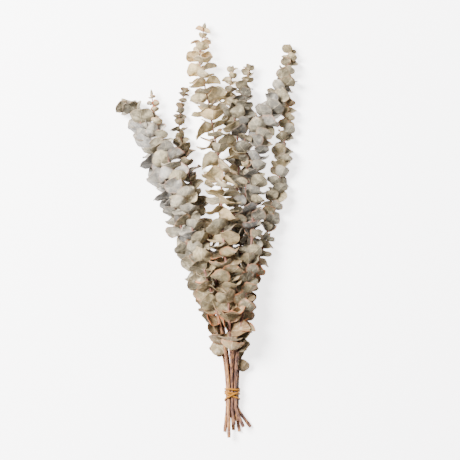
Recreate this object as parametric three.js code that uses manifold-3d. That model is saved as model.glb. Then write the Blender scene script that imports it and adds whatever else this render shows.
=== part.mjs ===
// A bunch of dried round-leaved eucalyptus, lying on a table.
// Ten cut branches are held by one rubber tie. Each branch is one closed solid: a bare stalk,
// then a thin square stem with round stalkless leaves in opposite pairs, each pair turned 90 degrees
// from the last. Leaves that would meet a neighbour are bent, twisted or shortened until they are clear.
// Millimetres. x is across the bunch, y runs from the cut ends to the tips, z is up from the table.

import * as THREE from "three";
import { mergeVertices } from "three/addons/utils/BufferGeometryUtils.js";
import Module from "manifold-3d";

// Stalks and stems
const BUTT_RADIUS = 2.2;
const TWIG_RADIUS = 0.65;
const STALK_SIDES = 8;
const STALK_RING_EVERY = 17;
const BUD_LENGTH = 4;
const SPAN_STEPS = 12; // points of the smooth centreline between two points of a route
const TANGENT_REACH = 2;

// Leaves
const BLADE = 0.8; // thickness
const LEAF_SEAT = 2; // length of stem that a leaf grows from
const LEAF_BROADNESS = 1.1;
const BLADE_OUTLINE = [-128, -66, 0, 66, 128]; // degrees round the blade from its tip
const STEEPEST_LEAN = 66;
const LOW_LEAF_LEAN = 26; // how much more the lowest leaves lean up the stem than those of its upper half
const MOST_TWIST = 74;
const AIR = 0.35; // least air between two branches

// The tie, and the seats of the ten stalks where it holds them
const TIE_WIDTH = 2.2;
const TIE_THICKNESS = 1.4;
const STALK_AT_TIE = 2.15;
const TIE_PLAY = 0.3;
const SEAT_PITCH = 4.6;
const LOW_ROW = TIE_THICKNESS + TIE_PLAY + STALK_AT_TIE;
const MIDDLE_ROW = LOW_ROW + SEAT_PITCH * Math.sin(Math.PI / 3);
const TOP_ROW = LOW_ROW + 2 * SEAT_PITCH * Math.sin(Math.PI / 3);
const STRAIGHT_PART = [-20, -14, 9]; // y of the points between which the stalks run side by side

// Each branch: where its stalk is cut, its seat in the tie, and its route from there to its tip.
// bare is the leafless length above the tie, leaf the longest leaf, and tipLeaf the last one's share of it.
// The leaves shorten from the share taper of the way up. pitch and tipPitch are the steps between pairs.
// lean is how far the leaves point up the stem, in degrees, and flat is how far their blades turn to lie
// level, from 0 to 1. Branches listed first keep their leaves fullest.
const BRANCHES = [
  {
    name: "branch_tall",
    seed: 11,
    cutEnd: [2.5, -42, 11.4],
    seat: [0, TOP_ROW],
    route: [
      [-1, 40, 21], [-3, 78, 33], [-5, 122, 41], [-8, 168, 44], [-12, 208, 43], [-14, 248, 41],
      [-15, 288, 37], [-20, 321, 32], [-26, 350, 28], [-30, 376, 24], [-37, 408, 20], [-43, 437, 17],
      [-40, 464, 14], [-36, 488, 10],
    ],
    bare: 60, leaf: 21, tipLeaf: 0.42, taper: 0.82, pitch: 13, tipPitch: 9, lean: 8, flat: 0.35,
  },
  {
    name: "branch_left",
    seed: 23,
    cutEnd: [-4.4, -59, 11],
    seat: [-SEAT_PITCH, TOP_ROW],
    route: [
      [-7, 40, 19], [-13, 78, 29], [-24, 122, 36], [-38, 168, 39], [-51, 212, 38], [-64, 254, 36],
      [-79, 294, 32], [-92, 326, 26], [-100, 352, 20], [-104, 376, 15], [-107, 400, 10],
    ],
    bare: 56, leaf: 20.5, tipLeaf: 0.26, taper: 0.66, pitch: 13, tipPitch: 9, lean: 28, flat: 0.7,
  },
  {
    name: "branch_right",
    seed: 37,
    cutEnd: [14.8, -45, 12],
    seat: [SEAT_PITCH, TOP_ROW],
    route: [
      [5.5, 40, 20], [10, 78, 31], [15, 122, 37], [21, 168, 38], [26, 208, 37], [27, 248, 35],
      [29, 281, 32], [33, 313, 29], [39, 343, 25], [48, 371, 21], [61, 392, 17], [71, 415, 14],
      [74, 437, 11], [76, 460, 8],
    ],
    bare: 62, leaf: 18.5, tipLeaf: 0.5, taper: 0.7, pitch: 13, tipPitch: 9, lean: 32, flat: 0.7,
  },
  {
    name: "branch_far_left",
    seed: 41,
    cutEnd: [-9.8, -52, 3.8],
    seat: [-1.5 * SEAT_PITCH, MIDDLE_ROW],
    route: [
      [-10, 40, 10], [-18, 78, 15], [-31, 122, 18], [-49, 168, 19], [-65, 212, 19], [-79, 254, 18],
      [-92, 293, 17], [-104, 322, 16], [-115, 346, 15], [-128, 367, 13], [-146, 388, 10],
    ],
    bare: 50, leaf: 20.5, tipLeaf: 0.6, taper: 0.85, pitch: 14, tipPitch: 11, lean: 30, flat: 0.7,
  },
  {
    name: "branch_far_right",
    seed: 53,
    cutEnd: [24, -45.7, 2.6],
    seat: [1.5 * SEAT_PITCH, MIDDLE_ROW],
    route: [
      [8.5, 40, 10], [12.5, 78, 14], [19, 122, 16], [30, 164, 16], [43, 201, 16], [51, 235, 15],
      [59, 268, 14], [65, 301, 13], [69, 334, 12], [73, 363, 10], [76, 390, 8],
    ],
    bare: 36, leaf: 16.5, tipLeaf: 0.55, taper: 0.7, pitch: 13.5, tipPitch: 8.5, lean: 36, flat: 0.8,
  },
  {
    name: "branch_inner_right",
    seed: 67,
    cutEnd: [6.6, -37, 8],
    seat: [0.5 * SEAT_PITCH, MIDDLE_ROW],
    route: [
      [2, 40, 14], [3, 78, 22], [6, 122, 27], [9, 168, 29], [12, 208, 30], [16, 244, 30],
      [18, 278, 30], [20, 307, 30],
    ],
    bare: 70, leaf: 18, tipLeaf: 0.6, taper: 0.6, pitch: 15, tipPitch: 11, lean: 36, flat: 0.6,
  },
  {
    name: "branch_mid_right",
    seed: 71,
    cutEnd: [9.5, -52, 2.6],
    seat: [SEAT_PITCH, LOW_ROW],
    route: [
      [4, 40, 6], [8, 78, 11], [12, 122, 15], [16, 168, 17], [19, 208, 18], [22, 248, 18],
      [22, 281, 18], [19, 314, 19], [15, 344, 21], [13, 368, 20], [15, 391, 17], [19, 412, 13],
      [22, 431, 9],
    ],
    bare: 90, leaf: 18, tipLeaf: 0.45, taper: 0.75, pitch: 18, tipPitch: 8.5, lean: 32, flat: 0.6,
  },
  {
    name: "branch_middle",
    seed: 83,
    cutEnd: [1.6, -50, 2.6],
    seat: [0, LOW_ROW],
    route: [
      [-1, 40, 6], [-2, 78, 11], [-2, 122, 14], [-2, 168, 15], [1, 208, 15], [4, 248, 15],
      [8, 285, 14], [8, 321, 14], [5, 350, 14], [0, 375, 13], [-4, 395, 12], [-1, 415, 10],
      [1, 432, 8],
    ],
    bare: 96, leaf: 17.5, tipLeaf: 0.42, taper: 0.75, pitch: 19, tipPitch: 8, lean: 32, flat: 0.6,
  },
  {
    name: "branch_inner_left",
    seed: 97,
    cutEnd: [-2.2, -33, 7.4],
    seat: [-0.5 * SEAT_PITCH, MIDDLE_ROW],
    route: [
      [-5, 40, 14], [-10, 78, 21], [-17, 122, 26], [-24, 162, 28], [-30, 193, 28], [-34, 217, 27],
    ],
    bare: 60, leaf: 18, tipLeaf: 0.6, taper: 0.6, pitch: 15, tipPitch: 12, lean: 32, flat: 0.7,
  },
  {
    name: "branch_thin_left",
    seed: 101,
    cutEnd: [-4.4, -38, 2.6],
    seat: [-SEAT_PITCH, LOW_ROW],
    route: [
      [-6, 40, 6], [-11, 78, 11], [-21, 122, 14], [-32, 168, 15], [-41, 212, 15], [-50, 254, 14],
      [-57, 288, 13], [-64, 321, 12], [-70, 350, 10], [-68, 376, 8], [-62, 401, 6],
    ],
    bare: 90, leaf: 16, tipLeaf: 0.36, taper: 0.45, pitch: 17, tipPitch: 6.5, lean: 36, flat: 0.5,
  },
];

// What is tried, in this order, for a leaf that is not clear of its neighbours: first other bends
// at full length, then the same bends at shorter lengths.
const SHORTENED = [1, 0.86, 0.72, 0.58];
const LEAN_TRIES = [0, 16, -16, 32, -32];
const SIDEWAYS_TRIES = [0, 24, -24, 46, -46];
const TWIST_TRIES = [0, 34, -34];

const DEGREE = Math.PI / 180;
const vector = (x, y, z) => new THREE.Vector3(x, y, z);
const mix = (a, b, share) => a + (b - a) * share;

function smoothStep(low, high, value) {
  const share = Math.min(1, Math.max(0, (value - low) / (high - low)));
  return share * share * (3 - 2 * share);
}

// A repeatable draw from -1 to 1
function seededDraw(seed) {
  let state = (seed * 7919 + 104729) >>> 0;
  return () => {
    state = (Math.imul(state, 1664525) + 1013904223) >>> 0;
    return state / 2147483648 - 1;
  };
}

// The centreline of one branch, from its cut end to its tip, read by the distance along it.
class Stem {
  constructor(branch) {
    const [seatX, seatZ] = branch.seat;
    const points = [
      branch.cutEnd,
      ...STRAIGHT_PART.map((y) => [seatX, y, seatZ]),
      ...branch.route,
    ].map((point) => vector(...point));
    const curve = new THREE.CatmullRomCurve3(points);
    this.line = curve.getPoints(SPAN_STEPS * (points.length - 1));
    this.along = [0];
    for (let i = 1; i < this.line.length; i++) {
      this.along.push(this.along[i - 1] + this.line[i].distanceTo(this.line[i - 1]));
    }
    this.length = this.along.at(-1);
  }

  at(s) {
    let i = 1;
    while (i < this.line.length - 1 && this.along[i] < s) i++;
    const share = (s - this.along[i - 1]) / (this.along[i] - this.along[i - 1]);
    return this.line[i - 1].clone().lerp(this.line[i], share);
  }

  // side lies level, up is square to it and to the stem
  frame(s) {
    const ahead = this.at(Math.min(s + TANGENT_REACH, this.length));
    const behind = this.at(Math.max(s - TANGENT_REACH, 0));
    const along = ahead.sub(behind).normalize();
    const side = along.clone().cross(vector(0, 0, 1)).normalize();
    const up = side.clone().cross(along);
    return { centre: this.at(s), along, side, up };
  }

  radius(s) {
    return mix(TWIG_RADIUS, BUTT_RADIUS, 1 - s / this.length);
  }
}

function aroundStem(frame, angle) {
  return frame.side
    .clone()
    .multiplyScalar(Math.cos(angle))
    .addScaledVector(frame.up, Math.sin(angle));
}

function stemRing(stem, s, turn, sides, radius) {
  const frame = stem.frame(s);
  return Array.from({ length: sides }, (_, i) =>
    aroundStem(frame, turn + (i * 2 * Math.PI) / sides)
      .multiplyScalar(radius)
      .add(frame.centre),
  );
}

// The leaf pairs of one branch, as they would grow with nothing in their way
function growPairs(branch, stem) {
  const draw = seededDraw(branch.seed);
  const first = -branch.cutEnd[1] + branch.bare;
  const pairs = [];
  let turn = Math.PI / 4;
  for (let s = first; s < stem.length - BUD_LENGTH; ) {
    const share = (s - first) / (stem.length - first);
    const length = branch.leaf * mix(1, branch.tipLeaf, smoothStep(branch.taper, 1, share));
    const lean = branch.lean + LOW_LEAF_LEAN * (1 - smoothStep(0, 0.5, share));
    turn += 10 * DEGREE * draw();
    const leaves = [0, 2].map((opposite) => ({
      face: (pairs.length % 2) + opposite,
      length: length * (1 + 0.12 * draw()),
      lean: lean + 15 * draw(),
      sideways: 14 * draw(),
      flat: branch.flat,
      twist: 20 * draw(),
      fold: 0.2 + 0.2 * draw(),
      curl: 0.14 * draw() - 0.08,
      wave: 0.03 + 0.03 * draw(),
      phase: Math.PI * draw(),
    }));
    pairs.push({ s, turn, leaves });
    s += mix(branch.pitch, branch.tipPitch, share) * (1 + 0.12 * draw());
  }
  return pairs;
}

// A point of a blade of length 1: p from the root to the tip, q across, lift off the blade's plane.
// angle goes round the blade from its tip, and the edge dips in to the root.
function bladePoint(leaf, angle) {
  const reach = 0.54 - 0.08 * Math.abs(angle / Math.PI) ** 6;
  const p = 0.46 + reach * Math.cos(angle);
  const q = LEAF_BROADNESS * reach * Math.sin(angle);
  const folded = leaf.fold * (Math.hypot(q, 0.06) - 0.06);
  const waved = leaf.wave * Math.sin(3 * angle + leaf.phase);
  return { p, q, lift: folded + leaf.curl * p * p + waved };
}

// The square ring of stem at one end of a pair's seats: -1 is the end nearer the cut, 1 the other
function seatRing(stem, pair, end) {
  const s = pair.s + (end * LEAF_SEAT) / 2;
  return stemRing(stem, s, pair.turn + Math.PI / 4, 4, stem.radius(s));
}

// The stem's walls from the seats of the pair before to those of the pair after
function wallsRound(stem, pairs, i) {
  const clearStem = { s: 5 * LEAF_SEAT, turn: pairs[i].turn };
  const before = pairs[i - 1] ?? { ...clearStem, s: pairs[i].s - clearStem.s };
  const after = pairs[i + 1] ?? { ...clearStem, s: Math.min(pairs[i].s + clearStem.s, stem.length) };
  const rings = [
    seatRing(stem, before, 1),
    seatRing(stem, pairs[i], -1),
    seatRing(stem, pairs[i], 1),
    seatRing(stem, after, -1),
  ];
  const walls = [];
  for (const ring of [0, 4, 8]) {
    for (let k = 0; k < 4; k++) {
      const [a, b] = [ring + k, ring + ((k + 1) % 4)];
      walls.push([b, a, a + 4], [b, a + 4, b + 4]);
    }
  }
  return surface(rings.flat(), walls);
}

// One leaf in place: the corners of its upper and lower faces, and what its clearance is tested with.
function placeLeaf(stem, pair, leaf, bend) {
  const frame = stem.frame(pair.s);
  const outward = aroundStem(frame, pair.turn + (leaf.face * Math.PI) / 2);
  const tangential = frame.along.clone().cross(outward);
  const lean = Math.min(leaf.lean + bend.lean, STEEPEST_LEAN) * DEGREE;
  const sideways = (leaf.sideways + bend.sideways) * DEGREE;
  const size = leaf.length * bend.length;

  const lengthwise = outward
    .clone()
    .multiplyScalar(Math.cos(sideways))
    .addScaledVector(tangential, Math.sin(sideways))
    .multiplyScalar(Math.cos(lean))
    .addScaledVector(frame.along, Math.sin(lean));
  const flatUp = frame.along
    .clone()
    .addScaledVector(lengthwise, -frame.along.dot(lengthwise))
    .normalize();
  const flatWide = flatUp.clone().cross(lengthwise);
  const level = Math.atan(flatWide.z / flatUp.z);
  const turned = leaf.flat * level + (leaf.twist + bend.twist) * DEGREE;
  const twist = Math.min(Math.max(turned, -MOST_TWIST * DEGREE), MOST_TWIST * DEGREE);
  const up = flatUp.clone().multiplyScalar(Math.cos(twist)).addScaledVector(flatWide, Math.sin(twist));
  const wide = flatWide.clone().multiplyScalar(Math.cos(twist)).addScaledVector(flatUp, -Math.sin(twist));

  const root = frame.centre.clone().addScaledVector(outward, stem.radius(pair.s) * Math.SQRT1_2);
  const [near, far] = [-1, 1].map((end) => seatRing(stem, pair, end));
  const before = (leaf.face + 3) % 4;
  const edge = BLADE_OUTLINE.map((degrees) => {
    const { p, q, lift } = bladePoint(leaf, degrees * DEGREE);
    return root
      .clone()
      .addScaledVector(lengthwise, size * p)
      .addScaledVector(wide, size * q)
      .addScaledVector(up, size * lift);
  });
  const halfBlade = up.clone().multiplyScalar(BLADE / 2);
  const points = [leaf.face, before].map((corner) => near[corner].clone().lerp(far[corner], 0.5));
  points.splice(1, 0, ...edge);
  const upper = [far[leaf.face], ...edge.map((point) => point.clone().add(halfBlade)), far[before]];
  const lower = [near[leaf.face], ...edge.map((point) => point.clone().sub(halfBlade)), near[before]];
  return {
    points,
    upper,
    lower,
    rim: edge.slice(1).map((point, i) => new THREE.Line3(edge[i], point)),
    middle: surface(points, bladeFans(points.length - 1)),
    skin: surface([...upper, ...lower], bladeSkin(points.length - 1)),
    box: new THREE.Box3().setFromPoints([...upper, ...lower]),
  };
}

// Triangles of a blade with the corners 0 to last: two fans from the root, folded along the midrib.
function bladeFans(last) {
  const tip = last / 2;
  const fans = [[0, tip, last]];
  for (let i = 1; i < tip; i++) fans.push([0, i, i + 1]);
  for (let i = tip; i < last - 1; i++) fans.push([last, i, i + 1]);
  return fans;
}

// Both faces and the rim of a blade, whose upper corners come before its lower ones
function bladeSkin(last) {
  const under = last + 1;
  const skin = [];
  for (const [a, b, c] of bladeFans(last)) skin.push([a, b, c], [a + under, c + under, b + under]);
  for (let i = 0; i < last; i++) {
    skin.push([i, i + under, i + 1 + under], [i, i + 1 + under, i + 1]);
  }
  return skin;
}

function surface(points, faces) {
  const edges = new Map();
  for (const face of faces) {
    face.forEach((a, i) => {
      const b = face[(i + 1) % 3];
      edges.set(a < b ? `${a} ${b}` : `${b} ${a}`, new THREE.Line3(points[a], points[b]));
    });
  }
  return {
    triangles: faces.map((face) => new THREE.Triangle(...face.map((i) => points[i]))),
    edges: [...edges.values()],
  };
}

const onTriangle = vector(0, 0, 0);
const ray = new THREE.Ray();

function pierces(edge, triangle, endsLeftOut = 0) {
  ray.origin.copy(edge.start);
  edge.delta(ray.direction).normalize();
  const hit = ray.intersectTriangle(triangle.a, triangle.b, triangle.c, false, onTriangle);
  const share = hit ? hit.distanceTo(edge.start) / edge.distance() : -1;
  return share >= endsLeftOut && share <= 1 - endsLeftOut;
}

// Edges are tested without their very ends, because the surfaces can share a corner.
const pierced = (a, b) =>
  a.edges.some((edge) => b.triangles.some((triangle) => pierces(edge, triangle, 0.01)));
const crosses = (a, b) => pierced(a, b) || pierced(b, a);

function cornersNear(a, b, limit) {
  return a.points.some((point) =>
    b.middle.triangles.some(
      (triangle) => triangle.closestPointToPoint(point, onTriangle).distanceToSquared(point) < limit,
    ),
  );
}

function bladesTooClose(a, b, air) {
  if (!a.box.clone().expandByScalar(air).intersectsBox(b.box)) return false;
  const limit = (BLADE + air) ** 2;
  return (
    cornersNear(a, b, limit) ||
    cornersNear(b, a, limit) ||
    a.middle.edges.some((edge) => b.middle.edges.some((other) => edge.distanceSqToLine3(other) < limit)) ||
    crosses(a.skin, b.skin)
  );
}

// A stem as short straight lengths, each with its own radius
function stemLengths(stem) {
  return stem.line.slice(1).map((end, i) => {
    const line = new THREE.Line3(stem.line[i], end);
    const radius = stem.radius(stem.along[i]);
    const box = new THREE.Box3().setFromPoints([line.start, end]).expandByScalar(radius + BLADE + AIR);
    return { stem, line, radius, box, from: stem.along[i], to: stem.along[i + 1] };
  });
}

// Beside its own seat a blade has to touch the stem, so there only its rim has to be clear.
function touchesStem(blade, lengths, stem, s) {
  return lengths.some((length) => {
    if (!length.box.intersectsBox(blade.box)) return false;
    const own = length.stem === stem;
    const beside = own && length.from < s + LEAF_SEAT && length.to > s - LEAF_SEAT;
    const limit = (length.radius + BLADE / 2 + (own ? 0 : AIR)) ** 2;
    const edges = beside ? blade.rim : blade.middle.edges;
    return (
      edges.some((edge) => edge.distanceSqToLine3(length.line) < limit) ||
      blade.middle.triangles.some((triangle) => pierces(length.line, triangle))
    );
  });
}

const aboveTable = (blade) => [...blade.upper, ...blade.lower].every((point) => point.z > 0);

function* bends() {
  for (const length of SHORTENED) {
    for (const lean of LEAN_TRIES) {
      for (const sideways of SIDEWAYS_TRIES) {
        for (const twist of TWIST_TRIES) yield { length, lean, sideways, twist };
      }
    }
  }
}

function airTo(other, stem, pair) {
  if (other.pair === pair) return 0;
  return other.stem === stem ? AIR / 3 : AIR;
}

// Gives every leaf its place, clear of the table, the stems and the leaves placed before it.
function placeLeaves(branches) {
  const lengths = branches.flatMap(({ stem }) => stemLengths(stem));
  const placed = [];
  for (const { stem, pairs } of branches) {
    for (const [i, pair] of pairs.entries()) {
      const walls = wallsRound(stem, pairs, i);
      for (const leaf of pair.leaves) {
        for (const bend of bends()) {
          const blade = placeLeaf(stem, pair, leaf, bend);
          const clear =
            aboveTable(blade) &&
            !crosses(blade.skin, blade.skin) &&
            !crosses(blade.skin, walls) &&
            !touchesStem(blade, lengths, stem, pair.s) &&
            !placed.some((other) => bladesTooClose(blade, other, airTo(other, stem, pair)));
          if (!clear) continue;
          leaf.blade = blade;
          placed.push({ ...blade, stem, pair });
          break;
        }
      }
    }
  }
}

// Collects corners and triangles, and gives them as one closed mesh.
class Shell {
  constructor() {
    this.corners = [];
    this.triangles = [];
  }

  add(points) {
    const start = this.corners.length;
    this.corners.push(...points);
    return points.map((_, i) => start + i);
  }

  face(a, b, c) {
    this.triangles.push(a, b, c);
  }

  quad(a, b, c, d) {
    this.face(a, b, c);
    this.face(a, c, d);
  }

  // The wall between two rings of as many corners, the second further along
  wall(near, far) {
    near.forEach((corner, i) => {
      const next = (i + 1) % near.length;
      this.quad(near[next], corner, far[i], far[next]);
    });
  }

  // Closes a ring of corners
  cap(ring, facesBack) {
    for (let i = 2; i < ring.length; i++) {
      if (facesBack) this.face(ring[0], ring[i - 1], ring[i]);
      else this.face(ring[0], ring[i], ring[i - 1]);
    }
  }

  geometry() {
    const positions = this.corners.flatMap((corner) => corner.toArray());
    return new THREE.BufferGeometry()
      .setAttribute("position", new THREE.Float32BufferAttribute(positions, 3))
      .setIndex(this.triangles);
  }
}

// The round stalk from the cut end, and its change to the square stem at the first pair
function addStalk(shell, stem, firstPair, squareRing) {
  const end = firstPair.s - LEAF_SEAT / 2 - STALK_RING_EVERY / 2;
  const turn = firstPair.turn + Math.PI / 4;
  const rings = Math.ceil(end / STALK_RING_EVERY);
  let last = null;
  for (let i = 0; i <= rings; i++) {
    const s = (end * i) / rings;
    const ring = shell.add(stemRing(stem, s, turn, STALK_SIDES, stem.radius(s)));
    if (last) shell.wall(last, ring);
    else shell.cap(ring, true);
    last = ring;
  }
  squareRing.forEach((corner, i) => {
    const [a, b, c] = [0, 1, 2].map((step) => last[(2 * i + step) % STALK_SIDES]);
    const nextCorner = squareRing[(i + 1) % 4];
    shell.face(b, a, corner);
    shell.face(b, corner, nextCorner);
    shell.face(c, b, nextCorner);
  });
}

// A leaf on the four corners of its seat
function addLeaf(shell, blade, seat) {
  const upper = [seat.upper[0], ...shell.add(blade.upper.slice(1, -1)), seat.upper[1]];
  const lower = [seat.lower[0], ...shell.add(blade.lower.slice(1, -1)), seat.lower[1]];
  const corners = [...upper, ...lower];
  for (const face of bladeSkin(upper.length - 1)) shell.face(...face.map((i) => corners[i]));
}

function branchGeometry({ stem, pairs }) {
  const shell = new Shell();
  let last = null;
  for (const pair of pairs) {
    const [near, far] = [-1, 1].map((end) => shell.add(seatRing(stem, pair, end)));
    if (last) shell.wall(last, near);
    else addStalk(shell, stem, pair, near);
    for (let face = 0; face < 4; face++) {
      const before = (face + 3) % 4;
      const leaf = pair.leaves.find((one) => one.face === face);
      if (leaf?.blade) {
        addLeaf(shell, leaf.blade, {
          upper: [far[face], far[before]],
          lower: [near[face], near[before]],
        });
      } else {
        shell.quad(near[face], near[before], far[before], far[face]);
      }
    }
    last = far;
  }
  const [bud] = shell.add([stem.at(stem.length)]);
  last.forEach((corner, i) => shell.face(last[(i + 1) % 4], corner, bud));
  return shell.geometry();
}

// The tie's inner line round the outer six stalks: an arc on each, straight from one to the next.
// Each of its points knows what share of the way round it lies at.
function tieLine() {
  const outer = [
    [-SEAT_PITCH, LOW_ROW],
    [SEAT_PITCH, LOW_ROW],
    [1.5 * SEAT_PITCH, MIDDLE_ROW],
    [SEAT_PITCH, TOP_ROW],
    [-SEAT_PITCH, TOP_ROW],
    [-1.5 * SEAT_PITCH, MIDDLE_ROW],
  ];
  const outwardAngle = ([ax, az], [bx, bz]) => Math.atan2(ax - bx, bz - az);
  const steps = 2;
  const line = [];
  outer.forEach((seat, i) => {
    const from = outwardAngle(outer.at(i - 1), seat);
    let to = outwardAngle(seat, outer[(i + 1) % outer.length]);
    if (to < from) to += 2 * Math.PI;
    for (let k = 0; k <= steps; k++) {
      const angle = mix(from, to, k / steps);
      const outward = vector(Math.cos(angle), 0, Math.sin(angle));
      const reach = STALK_AT_TIE + TIE_PLAY;
      line.push({ outward, inner: vector(seat[0], 0, seat[1]).addScaledVector(outward, reach) });
    }
  });
  line.push(line[0]);
  const gone = [0];
  for (let k = 1; k < line.length; k++) gone.push(gone[k - 1] + line[k].inner.distanceTo(line[k - 1].inner));
  return line.map((point, k) => ({ ...point, share: gone[k] / gone.at(-1) }));
}

// Where each turn of the tie lies along the stalks: at the left, on the table, at the top's right
// corner and at its left corner. The second turn runs aslant over the two that come after it.
const TIE_TURNS = [
  { along: [6.6, 5.3, 4.3, 5.3], raised: 0 },
  { along: [4.2, 2.9, 0.9, -5.6], raised: 1.1 },
  { along: [-12, -10, -6.6, -1.6], raised: 0 },
  { along: [-1.4, -1.6, -1.5, 0.9], raised: 0 },
];
const LAST_TURN_END = [1.5, 1.5];

function tieGeometry(wasm) {
  const line = tieLine();
  const knots = [...TIE_TURNS.flatMap((turn) => turn.along), ...LAST_TURN_END];
  const rise = new THREE.CatmullRomCurve3(
    knots.map((along) => vector(0, along, 0)),
    false,
    "catmullrom",
    0.5,
  );
  const outline = [
    [-TIE_WIDTH / 2, 0], [-TIE_WIDTH / 2, TIE_THICKNESS * 0.65], [-TIE_WIDTH * 0.25, TIE_THICKNESS],
    [TIE_WIDTH * 0.25, TIE_THICKNESS], [TIE_WIDTH / 2, TIE_THICKNESS * 0.65], [TIE_WIDTH / 2, 0],
  ];
  let tie = null;
  TIE_TURNS.forEach(({ raised }, turn) => {
    const shell = new Shell();
    let last = null;
    for (const { outward, inner, share } of line) {
      const along = rise.getPoint((4 * (turn + share)) / (knots.length - 1)).y;
      const lift = raised * smoothStep(0.3, 1, outward.z);
      const ring = shell.add(
        outline.map(([across, out]) =>
          inner
            .clone()
            .addScaledVector(outward, out + lift)
            .setY(along + across),
        ),
      );
      if (last) shell.wall(ring, last);
      else shell.cap(ring, false);
      last = ring;
    }
    shell.cap(last, true);
    const solid = asSolid(wasm, shell.geometry());
    tie = tie ? tie.add(solid) : solid;
  });
  return asGeometry(tie);
}

function asSolid(wasm, geometry) {
  const merged = mergeVertices(geometry, 1e-4);
  return new wasm.Manifold(
    new wasm.Mesh({
      numProp: 3,
      vertProperties: merged.attributes.position.array,
      triVerts: new Uint32Array(merged.index.array),
    }),
  );
}

function asGeometry(solid) {
  const mesh = solid.getMesh();
  return new THREE.BufferGeometry()
    .setAttribute("position", new THREE.BufferAttribute(mesh.vertProperties, 3))
    .setIndex(new THREE.BufferAttribute(mesh.triVerts, 1));
}

const wasm = await Module();
wasm.setup();

const foliage = new THREE.MeshStandardMaterial({ color: 0xa9a493, roughness: 0.8, metalness: 0 });
const rubber = new THREE.MeshStandardMaterial({ color: 0xcf8f2e, roughness: 0.5, metalness: 0 });
const bunch = new THREE.Group();

const branches = BRANCHES.map((branch) => {
  const stem = new Stem(branch);
  return { name: branch.name, stem, pairs: growPairs(branch, stem) };
});
placeLeaves(branches);
for (const branch of branches) {
  const mesh = new THREE.Mesh(branchGeometry(branch), foliage);
  mesh.name = branch.name;
  bunch.add(mesh);
}
const tie = new THREE.Mesh(tieGeometry(wasm), rubber);
tie.name = "rubber_tie";
bunch.add(tie);

// The origin goes on the table, under the middle of the bunch.
const middle = new THREE.Box3().setFromObject(bunch).getCenter(vector(0, 0, 0));
bunch.position.set(-middle.x, -middle.y, 0);

export default bunch;
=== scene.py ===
# %% [markdown]
# # A tied bunch of dried eucalyptus
#
# The real thing is ten cut branches, dried and pressed a little flat, held near their cut ends by a
# rubber tie. Each branch is a thin stem with round leaves that have no stalk. They grow in opposite
# pairs, and each pair is turned a quarter from the last.
#
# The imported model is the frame: it has every branch with plain six-sided leaves. This script grows
# the same branches by the same rule, finds which way each leaf was bent there, and puts a finely
# modelled leaf in the same place.

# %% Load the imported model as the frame
import math

import bpy
from mathutils import Matrix, Vector, kdtree


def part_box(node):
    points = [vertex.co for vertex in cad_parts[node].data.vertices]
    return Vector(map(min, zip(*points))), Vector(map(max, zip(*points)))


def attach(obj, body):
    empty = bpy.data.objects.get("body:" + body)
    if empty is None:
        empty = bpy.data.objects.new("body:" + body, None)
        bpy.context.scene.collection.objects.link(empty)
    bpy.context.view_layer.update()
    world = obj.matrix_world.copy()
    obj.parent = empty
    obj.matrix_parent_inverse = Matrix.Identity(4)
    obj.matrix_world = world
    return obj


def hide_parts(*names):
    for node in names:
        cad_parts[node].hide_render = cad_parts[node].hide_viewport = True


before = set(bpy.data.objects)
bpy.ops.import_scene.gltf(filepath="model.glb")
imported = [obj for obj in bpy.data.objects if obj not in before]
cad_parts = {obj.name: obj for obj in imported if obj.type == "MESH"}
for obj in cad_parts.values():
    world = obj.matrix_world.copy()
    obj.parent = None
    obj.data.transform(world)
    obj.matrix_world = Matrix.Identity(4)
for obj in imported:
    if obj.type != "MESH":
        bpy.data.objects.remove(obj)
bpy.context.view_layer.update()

# %% [markdown]
# ## How a branch is described
#
# A branch has a start for its random numbers, the place where its stalk is cut, its seat in the tie,
# and the route of its stem from the tie to its tip, read off the photograph. Then come its habits:
#
# - the bare length above the tie, the longest leaf, the last leaf's share of it, and the share of the
#   way up from which the leaves get shorter;
# - the steps between pairs of leaves, low down and at the tip, how far the leaves lean up the stem, in
#   degrees, and how far their blades turn to lie level, from 0 to 1.
#
# The last five values are for the finish: warmth is 0 for grey-blue leaves and 1 for tan ones, light
# is how pale they are (for inner_left it is set low as painted shade, since its leaves lie in the
# others' shadow), fade is how much of the colour is lost low on the branch, and the two blushes
# are how much red there is along the rims, and on the youngest leaves.
#
# Millimetres are easier to read for a plant, so the growing is done in millimetres, and only finished
# points are turned into metres.

# %% The ten branches
MM = 0.001
SEAT_PITCH = 4.6  # from stalk to stalk where the tie holds them
TIE_THICKNESS = 1.4
STALK_AT_TIE = 2.15  # radius of a stalk there
TIE_PLAY = 0.3  # air between the tie and the stalks
LOW_ROW = TIE_THICKNESS + TIE_PLAY + STALK_AT_TIE
MIDDLE_ROW = LOW_ROW + SEAT_PITCH * math.sin(math.pi / 3)
TOP_ROW = LOW_ROW + 2 * SEAT_PITCH * math.sin(math.pi / 3)
STRAIGHT_PART = (-20, -14, 9)  # y of the points between which the stalks run side by side


class Branch:
    def __init__(self, name, seed, cut_end, seat, route, growth, finish):
        self.name, self.seed, self.cut_end, self.seat, self.route = name, seed, cut_end, seat, route
        self.bare, self.leaf, self.tip_leaf, self.taper = growth[:4]
        self.pitch, self.tip_pitch, self.lean, self.flat = growth[4:]
        self.warmth, self.light, self.fade, self.blush, self.tip_blush = finish


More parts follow.
